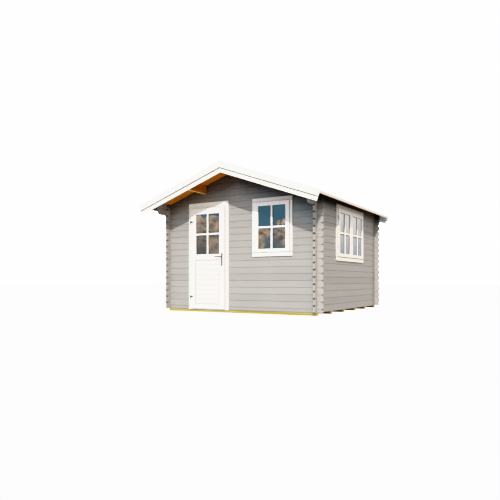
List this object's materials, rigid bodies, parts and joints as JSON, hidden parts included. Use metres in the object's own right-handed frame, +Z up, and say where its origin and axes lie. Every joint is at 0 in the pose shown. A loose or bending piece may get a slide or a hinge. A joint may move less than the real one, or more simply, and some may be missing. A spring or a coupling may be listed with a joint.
{
  "type": "log cabin garden shed",
  "caption": "Square log garden shed with interlocked corner logs, a low gable roof with a deep front overhang, a glazed side-hung door and casement windows.",
  "frame": {"origin": "on the ground under the middle of the whole shed's outline, roof overhangs included", "axes": "+Z up, -Y out of the front gable with the door, +X towards the side wall with the window"},
  "size_m": [3.538, 3.68, 2.5253],
  "materials": {
    "grey_painted_logs": "grey paint outside, bare inside",
    "white_painted_trim": "white paint, satin",
    "bare_spruce": "planed, bare",
    "treated_timber": "pressure treated",
    "glass": "clear",
    "black_steel": "black, satin",
    "satin_nickel": "satin"
  },
  "bodies": {
    "cabin": {"back_bargeboard_left": "white_painted_trim", "back_bargeboard_right": "white_painted_trim", "back_cover_board_left": "white_painted_trim", "back_cover_board_right": "white_painted_trim", "back_gable": "grey_painted_logs", "back_wall": "grey_painted_logs", "bearers": "treated_timber", "door_head": "white_painted_trim", "door_hinge_pins": "black_steel", "door_jambs": "white_painted_trim", "door_sill": "white_painted_trim", "eave_boards": "white_painted_trim", "floor": "bare_spruce", "front_bargeboard_left": "white_painted_trim", "front_bargeboard_right": "white_painted_trim", "front_cover_board_left": "white_painted_trim", "front_cover_board_right": "white_painted_trim", "front_gable": "grey_painted_logs", "front_wall_below_window": "grey_painted_logs", "front_wall_left": "grey_painted_logs", "front_wall_pier": "grey_painted_logs", "front_wall_right": "grey_painted_logs", "front_window_frame": "white_painted_trim", "front_window_glass": "glass", "front_window_sash": "white_painted_trim", "left_wall": "grey_painted_logs", "left_wall_top": "grey_painted_logs", "purlins": "bare_spruce", "right_wall_back_pier": "grey_painted_logs", "right_wall_below_window": "grey_painted_logs", "right_wall_corbel": "grey_painted_logs", "right_wall_front_pier": "grey_painted_logs", "right_wall_top": "grey_painted_logs", "roof_deck_left": "bare_spruce", "roof_deck_right": "bare_spruce", "side_window_frame": "white_painted_trim", "side_window_glass": "glass", "side_window_sashes": "white_painted_trim"},
    "door": {"door_stiles": "white_painted_trim", "door_rails": "white_painted_trim", "door_panel": "white_painted_trim", "door_glass": "glass", "door_hinge_straps": "black_steel", "door_handle_plates": "satin_nickel"},
    "lever": {"door_lever": "satin_nickel"}
  },
  "joints": [
    {"name": "door_hinge", "type": "hinge", "parent": "cabin", "child": "door", "pos_m": [-0.965, -1.352, 0.95], "axis": [0, 0, -1], "range_deg": [0, 110]},
    {"name": "lever_turn", "type": "hinge", "parent": "door", "child": "lever", "pos_m": [-0.282, -1.33, 0.981], "axis": [0, -1, 0], "range_deg": [0, 40], "stiffness_Nm_per_rad": 1.2, "springref_deg": -20.05}
  ]
}
